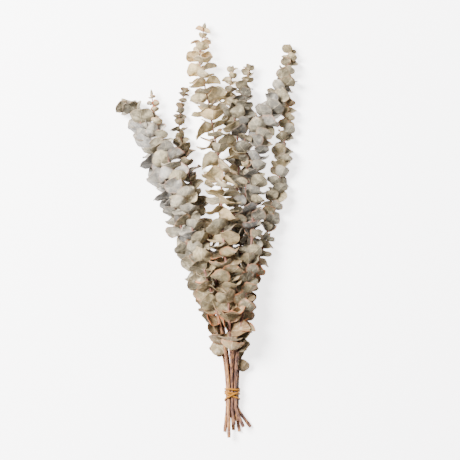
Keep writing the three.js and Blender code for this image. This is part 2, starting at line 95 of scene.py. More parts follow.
BRANCHES = [
    Branch(
        "tall", 11, (2.5, -42, 11.4), (0, TOP_ROW),
        [(-1, 40, 21), (-3, 78, 33), (-5, 122, 41), (-8, 168, 44), (-12, 208, 43), (-14, 248, 41),
         (-15, 288, 37), (-20, 321, 32), (-26, 350, 28), (-30, 376, 24), (-37, 408, 20), (-43, 437, 17),
         (-40, 464, 14), (-36, 488, 10)],
        (60, 21, 0.42, 0.82, 13, 9, 8, 0.35), (0.55, 1.44, 0.75, 0.3, 0.0),
    ),
    Branch(
        "left", 23, (-4.4, -59, 11), (-SEAT_PITCH, TOP_ROW),
        [(-7, 40, 19), (-13, 78, 29), (-24, 122, 36), (-38, 168, 39), (-51, 212, 38), (-64, 254, 36),
         (-79, 294, 32), (-92, 326, 26), (-100, 352, 20), (-104, 376, 15), (-107, 400, 10)],
        (56, 20.5, 0.26, 0.66, 13, 9, 28, 0.7), (0.22, 1.18, 0.8, 0.3, 1.6),
    ),
    Branch(
        "right", 37, (14.8, -45, 12), (SEAT_PITCH, TOP_ROW),
        [(5.5, 40, 20), (10, 78, 31), (15, 122, 37), (21, 168, 38), (26, 208, 37), (27, 248, 35),
         (29, 281, 32), (33, 313, 29), (39, 343, 25), (48, 371, 21), (61, 392, 17), (71, 415, 14),
         (74, 437, 11), (76, 460, 8)],
        (62, 18.5, 0.5, 0.7, 13, 9, 32, 0.7), (0.25, 0.65, 0.8, 0.2, 0.1),
    ),
    Branch(
        "far_left", 41, (-9.8, -52, 3.8), (-1.5 * SEAT_PITCH, MIDDLE_ROW),
        [(-10, 40, 10), (-18, 78, 15), (-31, 122, 18), (-49, 168, 19), (-65, 212, 19), (-79, 254, 18),
         (-92, 293, 17), (-104, 322, 16), (-115, 346, 15), (-128, 367, 13), (-146, 388, 10)],
        (50, 20.5, 0.6, 0.85, 14, 11, 30, 0.7), (0.08, 0.82, 0.9, 0.1, 0.1),
    ),
    Branch(
        "far_right", 53, (24, -45.7, 2.6), (1.5 * SEAT_PITCH, MIDDLE_ROW),
        [(8.5, 40, 10), (12.5, 78, 14), (19, 122, 16), (30, 164, 16), (43, 201, 16), (51, 235, 15),
         (59, 268, 14), (65, 301, 13), (69, 334, 12), (73, 363, 10), (76, 390, 8)],
        (36, 16.5, 0.55, 0.7, 13.5, 8.5, 36, 0.8), (0.45, 0.7, 0.9, 0.4, 0.2),
    ),
    Branch(
        "inner_right", 67, (6.6, -37, 8), (0.5 * SEAT_PITCH, MIDDLE_ROW),
        [(2, 40, 14), (3, 78, 22), (6, 122, 27), (9, 168, 29), (12, 208, 30), (16, 244, 30),
         (18, 278, 30), (20, 307, 30)],
        (70, 18, 0.6, 0.6, 15, 11, 36, 0.6), (0.2, 0.88, 0.9, 0.2, 0.2),
    ),
    Branch(
        "mid_right", 71, (9.5, -52, 2.6), (SEAT_PITCH, LOW_ROW),
        [(4, 40, 6), (8, 78, 11), (12, 122, 15), (16, 168, 17), (19, 208, 18), (22, 248, 18),
         (22, 281, 18), (19, 314, 19), (15, 344, 21), (13, 368, 20), (15, 391, 17), (19, 412, 13),
         (22, 431, 9)],
        (90, 18, 0.45, 0.75, 18, 8.5, 32, 0.6), (0.35, 0.52, 0.9, 0.1, 0.1),
    ),
    Branch(
        "middle", 83, (1.6, -50, 2.6), (0, LOW_ROW),
        [(-1, 40, 6), (-2, 78, 11), (-2, 122, 14), (-2, 168, 15), (1, 208, 15), (4, 248, 15),
         (8, 285, 14), (8, 321, 14), (5, 350, 14), (0, 375, 13), (-4, 395, 12), (-1, 415, 10),
         (1, 432, 8)],
        (96, 17.5, 0.42, 0.75, 19, 8, 32, 0.6), (0.38, 0.92, 0.9, 0.1, 0.2),
    ),
    Branch(
        "inner_left", 97, (-2.2, -33, 7.4), (-0.5 * SEAT_PITCH, MIDDLE_ROW),
        [(-5, 40, 14), (-10, 78, 21), (-17, 122, 26), (-24, 162, 28), (-30, 193, 28), (-34, 217, 27)],
        # Its lightness of 0.4 is painted shade: these leaves lie below the others, turned away from the
        # light.
        (60, 18, 0.6, 0.6, 15, 12, 32, 0.7), (0.6, 0.4, 0.9, 0.3, 0.2),
    ),
    Branch(
        "thin_left", 101, (-4.4, -38, 2.6), (-SEAT_PITCH, LOW_ROW),
        [(-6, 40, 6), (-11, 78, 11), (-21, 122, 14), (-32, 168, 15), (-41, 212, 15), (-50, 254, 14),
         (-57, 288, 13), (-64, 321, 12), (-70, 350, 10), (-68, 376, 8), (-62, 401, 6)],
        (90, 16, 0.36, 0.45, 17, 6.5, 36, 0.5), (0.5, 0.4, 0.9, 0.2, 0.0),
    ),
]
print(len(BRANCHES), "branches")

# %% [markdown]
# ## The line of a stem
#
# A stem bends smoothly, so its line is a Catmull-Rom curve: it passes through every point of the
# route, and the centripetal kind doesn't overshoot where two points are close, as they are at the
# tie. A leaf needs to know where it sits on the line and which way the stem runs there, so the line
# gives a small frame at any distance from the cut end: along the stem, level to the side, and up.

# %% The line of a stem
BUTT_RADIUS = 2.2  # at the cut end
TWIG_RADIUS = 0.65  # at the tip
SPAN_STEPS = 12  # short straight bits of line between two points of the route
TANGENT_REACH = 2


def mix(a, b, share):
    return a + (b - a) * share


def smooth_step(low, high, value):
    share = min(1, max(0, (value - low) / (high - low)))
    return share * share * (3 - 2 * share)


def smooth_span(p1, p2, leave, arrive, t):
    """A point between p1 and p2, on a line that leaves and arrives in the given directions."""
    square = -3 * p1 + 3 * p2 - 2 * leave - arrive
    cube = 2 * p1 - 2 * p2 + leave + arrive
    return p1 + leave * t + square * t * t + cube * t * t * t


def centripetal(p0, p1, p2, p3, t):
    d0, d1, d2 = (math.sqrt((b - a).length) for a, b in ((p0, p1), (p1, p2), (p2, p3)))
    leave = ((p1 - p0) / d0 - (p2 - p0) / (d0 + d1) + (p2 - p1) / d1) * d1
    arrive = ((p2 - p1) / d1 - (p3 - p1) / (d1 + d2) + (p3 - p2) / d2) * d1
    return smooth_span(p1, p2, leave, arrive, t)


class Stem:
    def __init__(self, branch):
        seat_x, seat_z = branch.seat
        straight = [(seat_x, y, seat_z) for y in STRAIGHT_PART]
        points = [Vector(point) for point in [branch.cut_end, *straight, *branch.route]]
        ends = [2 * points[0] - points[1], *points, 2 * points[-1] - points[-2]]
        self.line = [
            centripetal(*ends[i : i + 4], step / SPAN_STEPS)
            for i in range(len(points) - 1)
            for step in range(SPAN_STEPS)
        ] + [points[-1]]
        self.along = [0.0]
        for a, b in zip(self.line, self.line[1:]):
            self.along.append(self.along[-1] + (b - a).length)
        self.length = self.along[-1]

    def at(self, s):
        i = 1
        while i < len(self.line) - 1 and self.along[i] < s:
            i += 1
        share = (s - self.along[i - 1]) / (self.along[i] - self.along[i - 1])
        return self.line[i - 1].lerp(self.line[i], share)

    def frame(self, s):
        ahead = self.at(min(s + TANGENT_REACH, self.length))
        behind = self.at(max(s - TANGENT_REACH, 0))
        along = (ahead - behind).normalized()
        side = along.cross(Vector((0, 0, 1))).normalized()
        return self.at(s), along, side, side.cross(along)

    def radius(self, s):
        return mix(TWIG_RADIUS, BUTT_RADIUS, 1 - s / self.length)


for branch in BRANCHES:
    branch.stem = Stem(branch)
print("stems", [round(branch.stem.length) for branch in BRANCHES], "mm long")

# %% [markdown]
# ## How the leaves grow
#
# No two leaves are alike, but the same numbers must come out on every run, so the variation comes
# from a small number maker with a fixed start for each branch. It is the same one that the packed
# model was grown with, which is why the leaves come out in the same places.

# %% The leaves of a branch as they would grow freely
BUD_LENGTH = 4  # bare end of the stem
LOW_LEAF_LEAN = 26  # how much more the lowest leaves lean than those of the upper half
QUARTER = math.pi / 2
TURN_VARIES = math.radians(10)
STEP_VARIES = 0.12


def seeded_draw(seed):
    state = (seed * 7919 + 104729) & 0xFFFFFFFF

    def draw():
        nonlocal state
        state = (state * 1664525 + 1013904223) & 0xFFFFFFFF
        return state / 2147483648 - 1

    return draw


class Leaf:
    def __init__(self, branch, s, turn, face, length, lean, draw):
        def varied(middle, spread):
            return middle + spread * draw()

        self.s, self.turn, self.face, self.flat = s, turn, face, branch.flat
        self.length = length * varied(1, 0.12)
        self.lean = varied(lean, 15)
        self.sideways = varied(0, 14)
        self.twist = varied(0, 20)
        self.fold = varied(0.2, 0.2)
        self.curl = varied(-0.08, 0.14)
        self.wave = varied(0.03, 0.03)
        self.phase = varied(0, math.pi)


def grow(branch):
    draw = seeded_draw(branch.seed)
    stem = branch.stem
    first = -branch.cut_end[1] + branch.bare
    s, turn, pairs = first, QUARTER / 2, 0
    leaves = []
    while s < stem.length - BUD_LENGTH:
        share = (s - first) / (stem.length - first)
        length = branch.leaf * mix(1, branch.tip_leaf, smooth_step(branch.taper, 1, share))
        lean = branch.lean + LOW_LEAF_LEAN * (1 - smooth_step(0, 0.5, share))
        turn += TURN_VARIES * draw()
        for opposite in (0, 2):
            leaves.append(Leaf(branch, s, turn, pairs % 2 + opposite, length, lean, draw))
        pairs += 1
        s += mix(branch.pitch, branch.tip_pitch, share) * (1 + STEP_VARIES * draw())
    return leaves


for branch in BRANCHES:
    branch.leaves = grow(branch)
print(sum(len(branch.leaves) for branch in BRANCHES), "leaves before any is left out")

# %% [markdown]
# ## The shape and the place of one leaf
#
# A blade is nearly a disc with a small notch at its root. It is folded a little along its midrib,
# curls at the tip and has a waved rim. Its place is a frame at the stem: lengthwise, across and up.
# The bend says how far the leaf had to give way to its neighbours.

# %% Blade shape and leaf place
BLADE_MIDDLE, BLADE_REACH = 0.46, 0.54  # shares of the leaf's length
ROOT_NOTCH = 0.08  # how far the rim dips in to the root
LEAF_BROADNESS = 1.1
FOLD_ROUNDING = 0.06  # half the width of the midrib, where the fold is round
STEEPEST_LEAN = 66
MOST_TWIST = math.radians(74)


def blade_point(leaf, angle, share):
    """A point of a blade of length 1: how far along it, how far across, and how far off its plane."""
    reach = (BLADE_REACH - ROOT_NOTCH * abs(angle / math.pi) ** 6) * share
    p = BLADE_MIDDLE + reach * math.cos(angle)
    q = LEAF_BROADNESS * reach * math.sin(angle)
    folded = leaf.fold * (math.hypot(q, FOLD_ROUNDING) - FOLD_ROUNDING)
    waved = leaf.wave * share**2 * math.sin(3 * angle + leaf.phase)
    return p, q, folded + leaf.curl * p * p + waved


class Place:
    def __init__(self, stem, leaf, bend):
        shortened, lean, sideways, twist = bend
        centre, along, side, up = stem.frame(leaf.s)
        azimuth = leaf.turn + leaf.face * QUARTER
        outward = side * math.cos(azimuth) + up * math.sin(azimuth)
        lean = math.radians(min(leaf.lean + lean, STEEPEST_LEAN))
        sideways = math.radians(leaf.sideways + sideways)
        self.size = leaf.length * shortened
        level = outward * math.cos(sideways) + along.cross(outward) * math.sin(sideways)
        self.lengthwise = level * math.cos(lean) + along * math.sin(lean)
        flat_up = (along - self.lengthwise * along.dot(self.lengthwise)).normalized()
        flat_wide = flat_up.cross(self.lengthwise)
        turned = leaf.flat * math.atan(flat_wide.z / flat_up.z) + math.radians(leaf.twist + twist)
        turned = min(max(turned, -MOST_TWIST), MOST_TWIST)
        self.up = flat_up * math.cos(turned) + flat_wide * math.sin(turned)
        self.wide = flat_wide * math.cos(turned) - flat_up * math.sin(turned)
        self.turned = turned
        self.root = centre + outward * stem.radius(leaf.s) * math.sqrt(0.5)

    def turn_back(self, share):
        """Turn the blade part of the way back, from lying level to standing square to its stem."""
        back = self.turned * share
        up, wide = self.up, self.wide
        self.up = up * math.cos(back) - wide * math.sin(back)
        self.wide = wide * math.cos(back) + up * math.sin(back)

    def point(self, p, q, lift):
        return self.root + (self.lengthwise * p + self.wide * q + self.up * lift) * self.size


# %% [markdown]
# ## Finding how each leaf was bent
#
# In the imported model, a leaf that met a neighbour was bent, twisted or shortened until it was clear,
# and the first way that worked was kept. Here the same ways are tried in the same order, and the one
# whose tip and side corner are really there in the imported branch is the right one. A leaf with no
# match was left out there, so it is left out here.

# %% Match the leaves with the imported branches
BENDS = [
    (shortened, lean, sideways, twist)
    for shortened in (1, 0.86, 0.72, 0.58)
    for lean in (0, 16, -16, 32, -32)
    for sideways in (0, 24, -24, 46, -46)
    for twist in (0, 34, -34)
]
MATCHED_CORNERS = [math.radians(angle) for angle in (0, 66)]  # the tip and a corner at the side
MATCH = 0.05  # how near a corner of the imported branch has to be
BLADE_IN_FRAME = 0.8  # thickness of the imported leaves
TIE_NODE = "rubber_tie"

# The tie is evenly wide to both sides of its middle, and the tallest bud is the bunch's furthest
# point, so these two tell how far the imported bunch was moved.
tie_low, tie_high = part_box(TIE_NODE)
bud_y = BRANCHES[0].stem.line[-1].y
SHIFT = Vector(((tie_low[0] + tie_high[0]) / 2 / MM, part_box("branch_tall")[1][1] / MM - bud_y, 0))
print("the packed bunch stands", [round(value, 2) for value in SHIFT], "mm from the tie's frame")


def corners_of(node):
    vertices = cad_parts[node].data.vertices
    tree = kdtree.KDTree(len(vertices))
    for i, vertex in enumerate(vertices):
        tree.insert(Vector(vertex.co) / MM - SHIFT, i)
    tree.balance()
    return tree


def find_bend(branch, leaf, corners):
    for bend in BENDS:
        place = Place(branch.stem, leaf, bend)
        half_blade = place.up * BLADE_IN_FRAME / 2
        wanted = [place.point(*blade_point(leaf, angle, 1)) + half_blade for angle in MATCHED_CORNERS]
        if all(corners.find(corner)[2] < MATCH for corner in wanted):
            return place
    return None


for branch in BRANCHES:
    corners = corners_of("branch_" + branch.name)
    for leaf in branch.leaves:
        leaf.place = find_bend(branch, leaf, corners)
    found = [leaf for leaf in branch.leaves if leaf.place]
    print(branch.name, len(found), "of", len(branch.leaves), "leaves are in the packed branch")
    branch.leaves = found

# %% [markdown]
# ## Small helpers for modelling
#
# An operator acts on whatever is selected, and the loaded nodes start out selected. So each piece
# begins with a clean selection, and its points are picked in code, by their place.

# %% Modelling helpers


def deselect_all():
    if bpy.context.mode != "OBJECT":
        bpy.ops.object.mode_set(mode="OBJECT")
    bpy.ops.object.select_all(action="DESELECT")


def join(name, objects):
    deselect_all()
    for obj in objects:
        obj.select_set(True)
    bpy.context.view_layer.objects.active = objects[0]
    bpy.ops.object.join()
    objects[0].name = objects[0].data.name = name
    return objects[0]


def apply_modifier(obj, kind, **settings):
    bpy.context.view_layer.objects.active = obj
    modifier = obj.modifiers.new(kind.title(), kind)
    for key, value in settings.items():
        setattr(modifier, key, value)
    bpy.ops.object.modifier_apply(modifier=modifier.name)


def add_attributes(obj, values):
    for name, numbers in values.items():
        obj.data.attributes.new(name, "FLOAT", "POINT").data.foreach_set("value", numbers)


# %% [markdown]
# ## One blade, modelled once
#
# The blade starts as a filled circle of twenty corners. Two insets and a poke give it rings, so it
# can be cupped and waved, and a line of edges down the middle, where the midrib folds it. It has a
# few dozen faces, because it is repeated some hundreds of times.

# %% Model the blade
RIM_CORNERS = 20
OUTER_RING, INNER_RING = 0.26, 0.36

deselect_all()
bpy.ops.mesh.primitive_circle_add(vertices=RIM_CORNERS, radius=1, fill_type="NGON")
blade = bpy.context.object
bpy.ops.object.mode_set(mode="EDIT")
bpy.ops.mesh.inset(thickness=OUTER_RING)
bpy.ops.mesh.inset(thickness=INNER_RING)
bpy.ops.mesh.poke()
bpy.ops.object.mode_set(mode="OBJECT")
print("the blade has", len(blade.data.polygons), "faces")

# %% [markdown]
# ## Leaves in their places
#
# Each leaf is a copy of the blade with a mesh of its own. Its points are moved from the flat disc to
# the leaf's shape and place. A leaf loses its clean shape as it dries: it cups, curls, warps and
# folds, rolls up at one side and crumples along its rim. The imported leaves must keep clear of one
# another, so there they are plain and mostly level. Here some stand up square to their stem, and
# towards the tips they spread wider.
#
# On the way, each point is told where it lies on its leaf and how its leaf should look: these values
# are kept as attributes, and the leaf's finish reads them. All leaves of a branch become one piece,
# and a Solidify modifier gives them their thickness.

# %% Copy, shape and join the leaves
BLADE_THICKNESS = 0.5
ROOT_SINK = 0.06  # share of its length that the root goes into the stem
RAGGED = 0.02  # how far the rim of a dry leaf strays from a clean round
DISH = 0.26  # how deep the most cupped leaf is
DOMED = 0.35  # share of the leaves that are domed, where the rest are cupped
DRY_CURL = 0.16  # how far the tip of a dry leaf curls, up or down
DRY_WARP = 0.2  # how far its sides warp
DRY_FOLD = 0.25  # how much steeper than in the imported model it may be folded
EDGE_ROLL = 0.22  # how far one side of its rim rolls
CRUMPLE = 0.045  # how far its rim is crumpled, in small waves
OFF_TABLE = 0.7  # least height of a blade's middle over the table

# Low on a branch, at its tip, and the shares of the way up between which one turns into the other
STAND_UP, STAND_UP_CHANGES = (0.32, 0.6), (0.45, 0.8)  # how far the most upright leaf is turned back
SPREAD_CHANGES = (0.6, 0.95)
SPREAD = {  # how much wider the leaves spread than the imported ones
    "tall": (1.2, 1.0),
    "left": (1.0, 1.2),
    "right": (0.98, 1.25),
    "far_left": (1.05, 1.25),
    "far_right": (0.95, 1.1),
    "inner_right": (1.12, 1.0),
    "mid_right": (1.0, 1.15),
    "middle": (1.08, 1.15),
    "inner_left": (1.3, 1.0),
    "thin_left": (1.2, 1.35),
}

TAN_BELOW = (95, 235)  # distance above the tie over which the leaves turn from tan to their own colour
DIM_BELOW = (150, 300)  # and over which they turn from dull to their own lightness
LOW_WARMTH, LOW_LIGHT = 0.9, 0.45
WARMTH_VARIES, LIGHT_VARIES = 0.24, 0.26
RIM_BLUSH = (0.4, 1.2)  # share of the branch's blush, high on it and low on it
YOUNG_FROM, YOUNG_WARMTH = 0.85, 0.3  # the last leaves are the youngest


def shaped_leaf(branch, leaf, colours, shape):
    copy = blade.copy()
    copy.data = blade.data.copy()
    bpy.context.collection.objects.link(copy)
    cup, curl, warp, fold, roll = shape
    way_up = leaf.s / branch.stem.length
    spread = mix(*SPREAD[branch.name], smooth_step(*SPREAD_CHANGES, way_up))
    stand_up = mix(*STAND_UP, smooth_step(*STAND_UP_CHANGES, way_up))
    leaf.place.turn_back(stand_up * (1 + math.sin(5 * leaf.phase)) / 2)
    values = {"along_leaf": [], "across_leaf": [], "to_rim": []}
    for vertex in copy.data.vertices:
        share = vertex.co.length
        angle = math.atan2(vertex.co.y, vertex.co.x)
        ragged = 1 + RAGGED * math.sin(5 * angle + 3 * leaf.phase)
        p, q, lift = blade_point(leaf, angle, share * ragged)
        rolled_side = max(0, math.sin(angle + leaf.phase))
        lift += DISH * (cup - DOMED) * (share**2 - 1) + DRY_CURL * curl * p**2
        lift += DRY_WARP * warp * (p * share) * math.sin(2 * angle + 2 * leaf.phase)
        lift += DRY_FOLD * fold * abs(q) + EDGE_ROLL * roll * share**3 * rolled_side
        lift += CRUMPLE * share**2 * math.sin(5 * angle + 7 * leaf.phase)
        if share > 0.99 and abs(angle) > 3:
            p -= ROOT_SINK
        values["along_leaf"].append(p)
        values["across_leaf"].append(q)
        values["to_rim"].append(share)
        point = leaf.place.point(p * spread, q * spread, lift * spread) + SHIFT
        point.z = max(point.z, OFF_TABLE)
        vertex.co = point * MM
    for name, value in zip(("warmth", "light", "blush"), colours):
        values[name] = [value] * len(copy.data.vertices)
    add_attributes(copy, values)
    return copy


def leaf_looks(branch):
    """Each leaf of a branch with the values of its colours and of its dry shape."""
    draw = seeded_draw(branch.seed + 1000)
    for leaf in branch.leaves:
        height = branch.stem.at(leaf.s).y
        low = (1 - smooth_step(*TAN_BELOW, height)) * branch.fade
        dim = (1 - smooth_step(*DIM_BELOW, height)) * branch.fade
        young = smooth_step(YOUNG_FROM, 1, leaf.s / branch.stem.length)
        warmth = mix(branch.warmth, LOW_WARMTH, low) + WARMTH_VARIES * draw() + YOUNG_WARMTH * young
        light = mix(branch.light, LOW_LIGHT, dim) * (1 + LIGHT_VARIES * draw())
        blush = branch.blush * mix(*RIM_BLUSH, low) * (1 + draw()) ** 3 / 2 + branch.tip_blush * young
        curl, warp, fold, roll, cup = draw(), draw(), (1 + draw()) / 2, draw(), (1 + draw()) / 2
        yield leaf, (min(max(warmth, 0), 1), light, blush), (cup, curl, warp, fold, roll)


for branch in BRANCHES:
    copies = [shaped_leaf(branch, *look) for look in leaf_looks(branch)]
    branch.foliage = join("leaves_" + branch.name, copies)
    apply_modifier(branch.foliage, "SOLIDIFY", thickness=BLADE_THICKNESS * MM, offset=0)
    bpy.ops.object.shade_smooth_by_angle(angle=math.radians(50))
    print(branch.foliage.name, len(branch.foliage.data.polygons), "faces")
bpy.data.objects.remove(blade)

# %% [markdown]
# ## Stems and stalks
#
# A stem is long, thin and bent, which is what a curve with a round bevel is for: each point of the
# curve has a radius, so the stem tapers, and swells a little at every pair of leaves. The bare stalk
# swells too, where its lower leaves have fallen. At the tip, the youngest leaves are still folded
# round the stem and make a pointed bud. The curve is then turned into a mesh, whose points are told
# the age of their wood for the bark's finish.

# %% Stems along their lines
STEM_STEP = 1.6
KNOT_SWELLING, SCAR_SWELLING = 0.22, 0.14  # shares of the radius
SWELLING_WIDTH = 1.9
FIRST_SCAR, SCAR_STEP, SCAR_VARIES = 5, 13, 3
TIE_MIDDLE, TIE_REACH = -4, 14  # the stalks are smooth where the tie holds them
BUD_SPINDLE = 11  # length of the bud
BUD_FULLNESS = 0.26  # its radius, as a share of the length of the leaves at the tip
BUD_POINT = 0.5
BUD_FADES = 0.7  # share of its length up to which it is leaf-coloured
YOUNG_WOOD = (40, 160)  # distance above the tie over which the bark turns from old to young


def swelling(s, knots, scars):
    def nearest(places):
        return min(abs(s - place) for place in places)

    knot = KNOT_SWELLING * math.exp(-((nearest(knots) / SWELLING_WIDTH) ** 2))
    scar = SCAR_SWELLING * math.exp(-((nearest(scars) / SWELLING_WIDTH) ** 2))
    return 1 + knot + scar


def stem_piece(branch):
    stem = branch.stem
    draw = seeded_draw(branch.seed + 2000)
    knots = [leaf.s for leaf in branch.leaves]
    fallen_pairs = int((branch.bare - branch.cut_end[1]) / SCAR_STEP)
    scars = [FIRST_SCAR + SCAR_STEP * i + SCAR_VARIES * draw() for i in range(fallen_pairs)]
    bud_radius = BUD_FULLNESS * branch.leaf * branch.tip_leaf
    deselect_all()
    bpy.ops.curve.primitive_nurbs_path_add()
    piece = bpy.context.object
    piece.name = piece.data.name = "stem_" + branch.name
    curve = piece.data
    curve.bevel_depth = MM
    curve.bevel_resolution = 3
    curve.use_fill_caps = True
    curve.splines.clear()
    spline = curve.splines.new("POLY")
    steps = math.ceil(stem.length / STEM_STEP)
    spline.points.add(steps)
    for i, point in enumerate(spline.points):
        s = stem.length * i / steps
        in_tie = abs(stem.at(s).y - TIE_MIDDLE) < TIE_REACH
        radius = stem.radius(s) * (1 if in_tie else swelling(s, knots, scars))
        into_bud = (s - stem.length + BUD_SPINDLE) / BUD_SPINDLE
        if into_bud > 0:
            radius = mix(radius, BUD_POINT, into_bud) + bud_radius * math.sin(math.pi * into_bud)
        point.co = (*((stem.at(s) + SHIFT) * MM), 1)
        point.radius = radius
    bpy.ops.object.convert(target="MESH")
    bpy.ops.object.shade_smooth_by_angle(angle=math.radians(50))
    piece = bpy.context.object
    places = [vertex.co / MM - SHIFT for vertex in piece.data.vertices]
    to_tip = [(place - stem.line[-1]).length / BUD_SPINDLE for place in places]
    age = (1 + draw()) / 2
    add_attributes(
        piece,
        {
            "age": [age] * len(places),
            "young": [smooth_step(*YOUNG_WOOD, place.y) for place in places],
            "bud": [smooth_step(1, BUD_FADES, share) for share in to_tip],
        },
    )
    return piece


for branch in BRANCHES:
    branch.wood = stem_piece(branch)
print("stems have", sum(len(branch.wood.data.polygons) for branch in BRANCHES), "faces")

# %% [markdown]
# ## The rubber tie
#
# The tie is one flat rubber strand wound four times round the stalks. Its section starts as a small
# circle, squeezed to the strand's width and thickness, and is extruded from station to station. At
# each step the new ring is moved to its station and turned with the bundle's outline. The knots say
# how far up or down the stalks the strand runs, four to a turn. One turn crosses over another at the
# front, so it stands out further there.

# %% Wind the tie
STRAND_CORNERS = 10
STRAND_THICKNESS, STRAND_WIDTH = 1.6, 2.6  # the rubber bulges a little between the stalks
TIE_TURNS = 4
KNOTS_IN_TURN = 4
TIE_KNOTS = [
    6.6, 5.3, 4.3, 5.3,
    4.2, 2.9, 0.9, -5.6,
    -12, -10, -6.6, -1.6,
    -1.4, -1.6, -1.5, 0.9,
    1.5, 1.5,
]
CROSSING_TURN, CROSSING_LIFT = 1, 1.4
FRONT = (0.3, 1)  # sine of the angle over which the crossing turn rises
ARC_STEPS = 4
STRAIGHT_STEPS = 5

outer_seats = [
    (-SEAT_PITCH, LOW_ROW), (SEAT_PITCH, LOW_ROW), (1.5 * SEAT_PITCH, MIDDLE_ROW),
    (SEAT_PITCH, TOP_ROW), (-SEAT_PITCH, TOP_ROW), (-1.5 * SEAT_PITCH, MIDDLE_ROW),
]


def outward_angle(a, b):
    return math.atan2(a[0] - b[0], b[1] - a[1])


def round_the_stalks():
    """Where one turn goes: places round the stalks, each with the angle that it faces."""
    reach = STALK_AT_TIE + TIE_PLAY + TIE_THICKNESS - STRAND_THICKNESS / 2
    corners = []
    for i, seat in enumerate(outer_seats):
        start = outward_angle(outer_seats[i - 1], seat)
        end = outward_angle(seat, outer_seats[(i + 1) % len(outer_seats)])
        end += 2 * math.pi * (end < start)
        for step in range(ARC_STEPS):
            angle = mix(start, end, step / (ARC_STEPS - 1))
            x, z = seat[0] + reach * math.cos(angle), seat[1] + reach * math.sin(angle)
            corners.append((Vector((x, 0, z)), angle))
    corners.append((corners[0][0], corners[0][1] + 2 * math.pi))
    for (a, a_angle), (b, b_angle) in zip(corners, corners[1:]):
        steps = STRAIGHT_STEPS if (b - a).length > SEAT_PITCH / 2 else 1
        for step in range(steps):
            yield a.lerp(b, step / steps), a_angle + (b_angle - a_angle) % (2 * math.pi) * step / steps


def tie_rise(place):
    before_first = 2 * TIE_KNOTS[0] - TIE_KNOTS[1]
    p0, p1, p2, p3 = [before_first, *TIE_KNOTS][int(place) : int(place) + 4]
    return smooth_span(p1, p2, (p2 - p0) / 2, (p3 - p1) / 2, place % 1)


def tie_stations():
    """The strand's middle and the way it faces, from station to station of all turns."""
    one_turn = list(round_the_stalks())
    gone = [0]
    for (a, _), (b, _) in zip(one_turn, one_turn[1:] + one_turn[:1]):
        gone.append(gone[-1] + (b - a).length)
    full_turn = gone[-1]
    for turn in range(TIE_TURNS):
        for (place, angle), distance in zip(one_turn, gone):
            lift = CROSSING_LIFT * smooth_step(*FRONT, math.sin(angle)) * (turn == CROSSING_TURN)
            outward = Vector((math.cos(angle), 0, math.sin(angle)))
            rise = Vector((0, tie_rise(KNOTS_IN_TURN * (turn + distance / full_turn)), 0))
            yield (place + outward * lift + rise + SHIFT) * MM, angle


stations = list(tie_stations())
deselect_all()
bpy.ops.mesh.primitive_circle_add(vertices=STRAND_CORNERS, radius=0.5, fill_type="NGON")
tie = bpy.context.object
tie.name = tie.data.name = "rubber_strand"
place, angle = stations[0]
tie.data.transform(Matrix.Diagonal((STRAND_THICKNESS * MM, STRAND_WIDTH * MM, 1, 1)))
tie.data.transform(Matrix.Translation(place) @ Matrix.Rotation(-angle, 4, "Y"))
bpy.ops.object.mode_set(mode="EDIT")
for (last, last_angle), (place, angle) in zip(stations, stations[1:]):
    bpy.ops.mesh.extrude_region_move(TRANSFORM_OT_translate={"value": place - last})
    turned = (angle - last_angle + math.pi) % (2 * math.pi) - math.pi
    if abs(turned) > 1e-6:
        bpy.ops.transform.rotate(value=turned, orient_axis="Y", center_override=place)
bpy.ops.mesh.select_all(action="SELECT")
bpy.ops.mesh.normals_make_consistent(inside=False)
bpy.ops.object.mode_set(mode="OBJECT")
bpy.ops.object.shade_smooth_by_angle(angle=math.radians(60))
print("the tie has", len(tie.data.polygons), "faces")

# %% [markdown]
# ## Shader maths as Python
#
# A finish is worked out from a few patterns, so the sums are written as ordinary expressions. A small
# class wraps a node's output, and each operation on it adds the Math node that does it.

# %% The shader helper


class Value:
    def __init__(self, finish, socket):
        self.finish, self.socket = finish, socket

    def _math(self, operation, *others):
        sockets = {i: getattr(other, "socket", other) for i, other in enumerate(others)}
        return self.finish.node("ShaderNodeMath", {"operation": operation}, sockets)

    def __add__(self, other):
        return self._math("ADD", self, other)

    def __sub__(self, other):
        return self._math("SUBTRACT", self, other)

    def __mul__(self, other):
        return self._math("MULTIPLY", self, other)

    def __rsub__(self, other):
        return self._math("SUBTRACT", other, self)

    __radd__, __rmul__ = __add__, __mul__

    def wave(self):
        return self._math("SINE", self)

    def magnitude(self):
        return self._math("ABSOLUTE", self)

    def between(self, low, high):
        sockets = {"Value": self.socket, "From Min": low, "From Max": high}
        return self.finish.node("ShaderNodeMapRange", {"interpolation_type": "SMOOTHSTEP"}, sockets)


